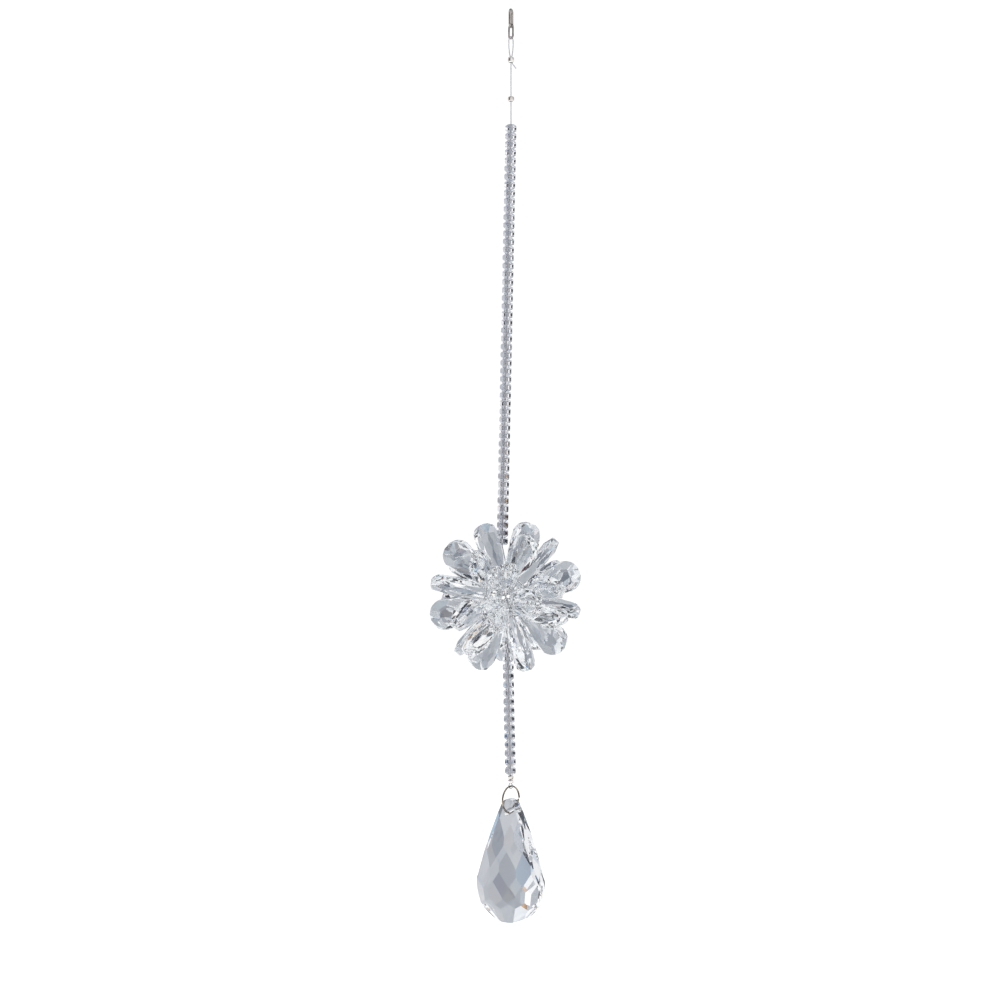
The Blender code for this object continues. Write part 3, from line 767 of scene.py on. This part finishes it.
# How single drops lean away from the even layout, in whole degrees: number of the drop, then
# change of azimuth, change of tilt and roll about its own length.
SWINGS = {
    1: (-14, 4, 0),
    2: (20, 0, 0),
    3: (4, 4, 0),
    4: (9, -15, 0),
    5: (-22, 2, 0),
    6: (0, -20, 0),
    7: (-4, -14, 0),
    8: (-20, 5, 0),
    9: (22, -3, 0),
    10: (4, 10, 0),
    11: (2, 10, 26),
    12: (0, 12, 30),
    13: (4, 0, 0),
    14: (-7, 3, 12),
    15: (4, 0, 0),
    16: (0, 3, 0),
    17: (-12, 4, -18),
    18: (2, 4, 0),
    19: (2, -12, -45),
    20: (5, -8, 0),
    21: (3, -12, 16),
}


class Pear:
    """A pear form from its tip, z = 0, to its round end, z = length, wide in X and thin in Y."""

    def __init__(self, length, width, thickness, tip_width, tip_thickness):
        self.length = length
        self.width = width / 2
        self.thickness = thickness / 2
        self.tip_width = tip_width / 2
        self.tip_thickness = tip_thickness / 2
        self.centre = length - self.width
        fall = self.width - self.tip_width
        self.flank = (fall ** 2 + self.centre ** 2) / (2 * fall)

    def half_width(self, z):
        """Half the width at a height: a round end and flanks of one large radius."""
        if z > self.centre:
            return sqrt(max(self.width ** 2 - (z - self.centre) ** 2, 0.0))
        return self.width - self.flank + sqrt(self.flank ** 2 - (self.centre - z) ** 2)

    def half_thickness(self, z):
        """Half the thickness at a height."""
        if z > self.centre:
            return self.thickness * self.half_width(z) / self.width
        share = (self.centre - z) / self.centre
        return self.thickness - (self.thickness - self.tip_thickness) * share ** 2

    def point(self, z, angle):
        """A point of the smooth form. The angle turns from the middle of the face to the rim."""
        return Vector((self.half_width(z) * sin(angle), self.half_thickness(z) * cos(angle), z))

    def facet(self, z, angle):
        """The plane that touches the smooth form at a point, as (point, outward normal)."""
        step = self.length * PROBE
        middle = self.point(z, angle)
        along = self.point(z + step, angle) - self.point(z - step, angle)
        around = self.point(z, angle + PROBE_ANGLE) - self.point(z, angle - PROBE_ANGLE)
        normal = along.cross(around).normalized()
        if normal.dot(middle - Vector((0, 0, z))) < 0:
            normal.negate()
        return middle, normal

    def ground(self, rows, rim, tip_turns, hole_inset):
        """The pear ground facet by facet, with the place of its hole at the origin."""
        planes = [(Vector((0, 0, self.length)), Vector((0, 0, 1)))]
        for turn in tip_turns:
            normal = Vector((sin(radians(turn)), 0, -cos(radians(turn))))
            planes.append((Vector((0, 0, self.tip_width)) + normal * self.tip_width, normal))
        for share, angles in rows:
            for angle in angles:
                for turn in {angle, -angle}:
                    for face in (0, 180):
                        planes.append(self.facet(share * self.length, radians(turn + face)))
        for share in rim:
            for turn in (90, -90):
                planes.append(self.facet(share * self.length, radians(turn)))
        bm = grind(planes)
        bmesh.ops.translate(bm, verts=bm.verts, vec=(0, 0, -hole_inset))
        return bm


def aim(azimuth, tilt):
    """A direction. The azimuth turns from +X to +Z as seen from the front, the tilt is from -Y."""
    return Vector((sin(tilt) * cos(azimuth), -cos(tilt), sin(tilt) * sin(azimuth)))


def dodecahedron():
    """Its twenty corners, turned so that one faces the front, and its thirty edges."""
    corners = [Vector((x, y, z)) for x in (-1, 1) for y in (-1, 1) for z in (-1, 1)]
    for a in (-1 / GOLDEN, 1 / GOLDEN):
        for b in (-GOLDEN, GOLDEN):
            corners += [Vector((0, a, b)), Vector((a, b, 0)), Vector((b, 0, a))]
    edges = []
    for i, first in enumerate(corners):
        for j in range(i + 1, len(corners)):
            if (first - corners[j]).length < 2 / GOLDEN + EDGE_SLACK:
                edges.append((i, j))
    front = Vector((1, 1, 1)).normalized()
    up = Vector((1 / GOLDEN, 1, -GOLDEN)).normalized()
    turn = Matrix.Rotation(-FLOWER_TURN, 3, "Y") @ Matrix((up.cross(front), -front, up))
    return [turn @ corner for corner in corners], edges


def flower_layout(centre):
    """The frame of each of the thirty drops with its two corners, and the corners of the weave."""
    corners, edges = dodecahedron()
    places = []
    for first, second in edges:
        middle = (corners[first] + corners[second]) / 2
        along = corners[second] - corners[first]
        tilt = round(middle.angle(Vector((0, -1, 0))) * 180 / pi)
        from_right = Vector((middle.x, middle.z)).angle_signed(Vector((1, 0)), 0)
        azimuth = round(from_right * 180 / pi) % 360
        places.append((tilt, azimuth, middle.normalized(), along.normalized(), first, second))
    places.sort(key=lambda item: item[:2])
    seats = []
    for number, (tilt, azimuth, outward, along, first, second) in enumerate(places, start=1):
        swing_azimuth, swing_tilt, roll = SWINGS.get(number, (0, 0, 0))
        aimed = aim(radians(azimuth + swing_azimuth), radians(tilt + swing_tilt))
        swing = outward.rotation_difference(aimed).to_matrix()
        seat = swing @ Matrix((along.cross(outward), along, outward)).transposed()
        seat = seat @ Matrix.Rotation(radians(roll), 3, "Z")
        place = Matrix.Translation(centre + outward * WEAVE_RADIUS)
        seats.append((place @ seat.to_4x4(), first, second))
    woven = [centre + corner * (WEAVE_RADIUS / GOLDEN) for corner in corners]
    return seats, woven


def flower_tree():
    """A cut drop on every point, turned as the point's own turn says."""
    tree, start, end = new_tree("woven_drops", (
        ("Drop", "NodeSocketObject"),
        ("Finish", "NodeSocketMaterial"),
    ))
    turn = tree.nodes.new("GeometryNodeInputNamedAttribute")
    turn.data_type = "QUATERNION"
    turn.inputs["Name"].default_value = "turn"
    drop = tree.nodes.new("GeometryNodeObjectInfo")
    weave = tree.nodes.new("GeometryNodeInstanceOnPoints")
    realize = tree.nodes.new("GeometryNodeRealizeInstances")
    finish = tree.nodes.new("GeometryNodeSetMaterial")
    links = tree.links
    links.new(start.outputs["Drop"], drop.inputs["Object"])
    links.new(start.outputs["Geometry"], weave.inputs["Points"])
    links.new(drop.outputs["Geometry"], weave.inputs["Instance"])
    links.new(turn.outputs["Attribute"], weave.inputs["Rotation"])
    links.new(weave.outputs["Instances"], realize.inputs["Geometry"])
    links.new(realize.outputs["Geometry"], finish.inputs["Geometry"])
    links.new(start.outputs["Finish"], finish.inputs["Material"])
    links.new(finish.outputs["Geometry"], end.inputs["Geometry"])
    return tree


PETAL_CRYSTAL = cut_glass(
    "petal_crystal", (0.965, 0.975, 0.985), (0.915, 0.93, 0.945), 1.56, 160.0, 0.00003,
)

flower_centre = upper_end + Vector((UPPER_STRAND_SIDESTEP, 0, -UPPER_STRAND_STANDOFF - WEAVE_RADIUS))
seats, woven = flower_layout(flower_centre)
petal = Pear(PETAL_LENGTH, PETAL_WIDTH, PETAL_THICKNESS, PETAL_TIP_WIDTH, PETAL_TIP_THICKNESS)
petal_mesh = drilled(
    "drop", petal.ground(PETAL_ROWS, PETAL_RIM, TIP_TURNS, PETAL_HOLE_INSET), PETAL_HOLE,
    PETAL_HOLE_SIDES, Matrix.Rotation(pi / 2, 4, "X"),
)
petal_pattern = bpy.data.objects.new("drop_pattern", petal_mesh)
bpy.context.scene.collection.objects.link(petal_pattern)
seat_points = bpy.data.meshes.new("flower_seats")
seat_points.from_pydata([seat.translation for seat, first, second in seats], [], [])
seat_turns = seat_points.attributes.new("turn", "QUATERNION", "POINT")
for value, (seat, first, second) in zip(seat_turns.data, seats):
    value.value = seat.to_quaternion()
flower = grow("flower_of_drops", seat_points, flower_tree(), {
    "Drop": petal_pattern, "Finish": PETAL_CRYSTAL,
})
bpy.data.objects.remove(petal_pattern)
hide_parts(*[f"flower_drop_{number:02d}" for number in range(1, len(seats) + 1)])
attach(flower, "root")

lower_top = flower_centre + Vector((LOWER_STRAND_SIDESTEP, 0, -WEAVE_RADIUS - LOWER_STRAND_STANDOFF))
lower_end = strand("lower_bead_strand", lower_top, LOWER_LEAN, LOWER_PITCH, LOWER_BEADS, LOWER_SEED)
lower_crimp_top = lower_end - Vector((0, 0, 2 * GAP + END_CRIMP_HEIGHT))
crimp("upper_end_crimp", lower_end - Vector((0, 0, GAP)), END_CRIMP_HEIGHT, dent=0.5, turn=radians(-50))
crimp("lower_end_crimp", lower_crimp_top, END_CRIMP_HEIGHT, dent=0.5, turn=radians(-20))


# The stringing line itself: one clear nylon line. It makes a loop at the top, runs down through
# the beads, goes from drop to drop inside the flower and ends in a small loop at the bottom.
END_LOOP_LENGTH = 0.0021
END_LOOP_WIDTH = 0.0022
TAIL_LENGTH = 0.0028
TAIL_ANGLE = radians(38)
LOOP_PINCH = 0.75
LOOP_OUTLINE = ((0.0, 0.0), (0.05, 0.34), (0.16, 0.5), (0.5, 0.5), (0.8, 0.36))
STRAIGHT_ENOUGH = radians(6)
TOP_EXIT = (radians(84), radians(110))
LOW_EXIT = (radians(264), radians(70))
RING_TURN = radians(52)
LINE_SIDES = 10
BEND_STEPS = 8
BEND_SHARE = 0.35
NYLON_CLEARNESS = 0.7
NYLON_IOR = 1.53
NYLON_CLOUDS = 300.0
NYLON_ROUGHNESS = (0.08, 0.3)
NYLON_TONES = ((0.70, 0.70, 0.71), (0.76, 0.76, 0.77))


def nylon(name):
    """Clear beading nylon: see-through, a little milky, with small kinks in its gloss."""
    material, shader, where = surface(name)
    shader.inputs["Transmission Weight"].default_value = NYLON_CLEARNESS
    shader.inputs["IOR"].default_value = NYLON_IOR
    milky = grain(material, where, NYLON_CLOUDS)
    paint(material, shader, milky, *NYLON_TONES)
    dull(material, shader, milky, NYLON_ROUGHNESS)
    return material


def eased(points):
    """The points with each inner corner replaced by a short bend."""
    bent = [points[0]]
    for before, corner, after in zip(points, points[1:], points[2:]):
        start = corner.lerp(before, BEND_SHARE)
        end = corner.lerp(after, BEND_SHARE)
        for step in range(BEND_STEPS + 1):
            share = step / BEND_STEPS
            bent.append(start.lerp(corner, share).lerp(corner.lerp(end, share), share))
    bent.append(points[-1])
    return bent


def loop_run(top, foot, width, turn, joint):
    """One run of line round a loop: from the joint up one leg, over the top and down the other."""
    height = top.z - foot.z
    across = Vector((cos(turn), sin(turn), 0))
    legs = []
    for side in (-1, 1):
        leg = [
            top + side * width * out * across - Vector((0, 0, down * height))
            for down, out in LOOP_OUTLINE
        ]
        leg.append(foot + side * LOOP_PINCH * LINE * across)
        leg.append(joint)
        legs.append(leg)
    return eased(legs[0][::-1] + legs[1][1:])


def nearest_corner(azimuth, tilt):
    """The corner of the weave nearest to a direction from the flower's centre."""
    wanted = flower_centre + aim(azimuth, tilt) * WEAVE_RADIUS
    return min(woven, key=lambda corner: (corner - wanted).length)


upper_axis = (upper_top - upper_end).normalized()
lower_axis = (lower_top - lower_end).normalized()
end_loop_top = lower_crimp_top - Vector((0, 0, END_CRIMP_HEIGHT))
end_loop_foot = end_loop_top - Vector((0, 0, END_LOOP_LENGTH))
loop_joint = loop_foot - Vector((0, 0, TOP_CRIMP_HEIGHT * 0.5))
end_joint = lower_end + LOWER_PITCH / 4 * lower_axis
tail_bend = loop_joint + Vector((LOOP_PINCH * LINE, 0, -TOP_CRIMP_HEIGHT / 2 - GAP))
tail_end = tail_bend + Vector((sin(TAIL_ANGLE), 0, -cos(TAIL_ANGLE))) * TAIL_LENGTH

line_runs = [
    loop_run(loop_top, loop_foot, TOP_LOOP_WIDTH - LINE, SECOND_LINK_TURN + pi / 2, loop_joint),
    loop_run(end_loop_foot, end_loop_top, END_LOOP_WIDTH - LINE, RING_TURN - pi / 2, end_joint),
    eased([loop_joint, tail_bend, tail_end]),
    [
        loop_joint, upper_top + GAP * upper_axis, upper_end - GAP * upper_axis,
        nearest_corner(*TOP_EXIT),
    ],
    [nearest_corner(*LOW_EXIT), lower_top + LINE * lower_axis, end_joint],
]
reach = petal.half_thickness(PETAL_HOLE_INSET) + GAP
for seat, first, second in seats:
    entry = seat @ Vector((0, -reach, 0))
    outlet = seat @ Vector((0, reach, 0))
    if (outlet - entry).angle(woven[second] - woven[first]) < STRAIGHT_ENOUGH:
        line_runs.append([woven[first], woven[second]])
    else:
        line_runs.append([woven[first], entry, outlet, woven[second]])

line = grow("nylon_line", runs_mesh("nylon_line", line_runs), DRAWN_WIRE, {
    "Thickness": LINE, "Sides": LINE_SIDES, "Finish": nylon("clear_nylon"),
})
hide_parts("stringing_line")
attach(line, "root")


# The jump ring: an open ring of springy steel wire, its cut ends pressed side by side, passed
# through the end loop of the line and the hole of the large drop.
RING_DIAMETER = 0.0112
RING_WIRE = 0.0007
RING_CUT = radians(5)
RING_STAGGER = 0.0004
RING_STEPS = 96

RING_BRONZE = worn_metal("ring_bronze", (0.34, 0.30, 0.23), (0.07, 0.055, 0.04), 0.12)

ring_radius = (RING_DIAMETER - RING_WIRE) / 2
ring_top = end_loop_foot.z + LINE / 2 + GAP + RING_WIRE
ring_middle = Vector((end_loop_foot.x, 0, ring_top - RING_DIAMETER / 2))
ring_points = []
for step in range(RING_STEPS + 1):
    angle = RING_CUT / 2 + (2 * pi - RING_CUT) * step / RING_STEPS
    stagger = RING_STAGGER * (step / RING_STEPS - 0.5)
    ring_points.append(Vector((ring_radius * cos(angle), stagger, ring_radius * sin(angle))))
ring_line = runs_mesh("ring", [ring_points])
ring_line.transform(Matrix.Translation(ring_middle) @ Matrix.Rotation(RING_TURN, 4, "Z"))
ring = grow("jump_ring_wire", ring_line, DRAWN_WIRE, {
    "Thickness": RING_WIRE, "Sides": WIRE_SIDES, "Finish": RING_BRONZE,
})
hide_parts("jump_ring")
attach(ring, "root")


# The large pear drop: heavy clear crystal, pressed and then ground and polished facet by facet,
# with a hole near its tip that the jump ring passes through.
DROP_LENGTH = 0.0487
DROP_WIDTH = 0.0286
DROP_THICKNESS = 0.0130
DROP_TIP_WIDTH = 0.0062
DROP_TIP_THICKNESS = 0.0030
DROP_HOLE_INSET = 0.0052
DROP_HOLE = 0.0024
DROP_HOLE_SIDES = 32
DROP_TURN = radians(-30)
DROP_ROWS = (
    (0.10, (0,)),
    (0.32, (22, 57)),
    (0.58, (0, 46)),
    (0.76, (24, 56)),
    (0.90, (0, 46)),
)
DROP_RIM = (
    0.02, 0.08, 0.14, 0.23, 0.32, 0.41, 0.50, 0.58, 0.66,
    0.72, 0.78, 0.83, 0.88, 0.92, 0.95, 0.975, 0.99,
)

DROP_CRYSTAL = cut_glass("drop_crystal", (0.985, 0.99, 1.0), (0.955, 0.96, 0.985), 1.58, 60.0, 0.00006)

drop = Pear(DROP_LENGTH, DROP_WIDTH, DROP_THICKNESS, DROP_TIP_WIDTH, DROP_TIP_THICKNESS)
drop_mesh = drilled(
    "crystal", drop.ground(DROP_ROWS, DROP_RIM, TIP_TURNS, DROP_HOLE_INSET), DROP_HOLE,
    DROP_HOLE_SIDES, Matrix.Rotation(pi / 2, 4, "X"),
)
half_bore = drop.half_thickness(DROP_HOLE_INSET)
rise = ring_radius - sqrt(ring_radius ** 2 - half_bore ** 2)
drop_mesh.transform(
    Matrix.Translation(ring_middle + Vector((0, 0, rise / 2 - ring_radius)))
    @ Matrix.Rotation(DROP_TURN, 4, "Z") @ Matrix.Rotation(pi, 4, "Y")
)
drop_mesh.materials.clear()
drop_mesh.materials.append(DROP_CRYSTAL)
pendant = bpy.data.objects.new("pear_pendant", drop_mesh)
bpy.context.scene.collection.objects.link(pendant)
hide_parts("crystal_drop")
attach(pendant, "root")
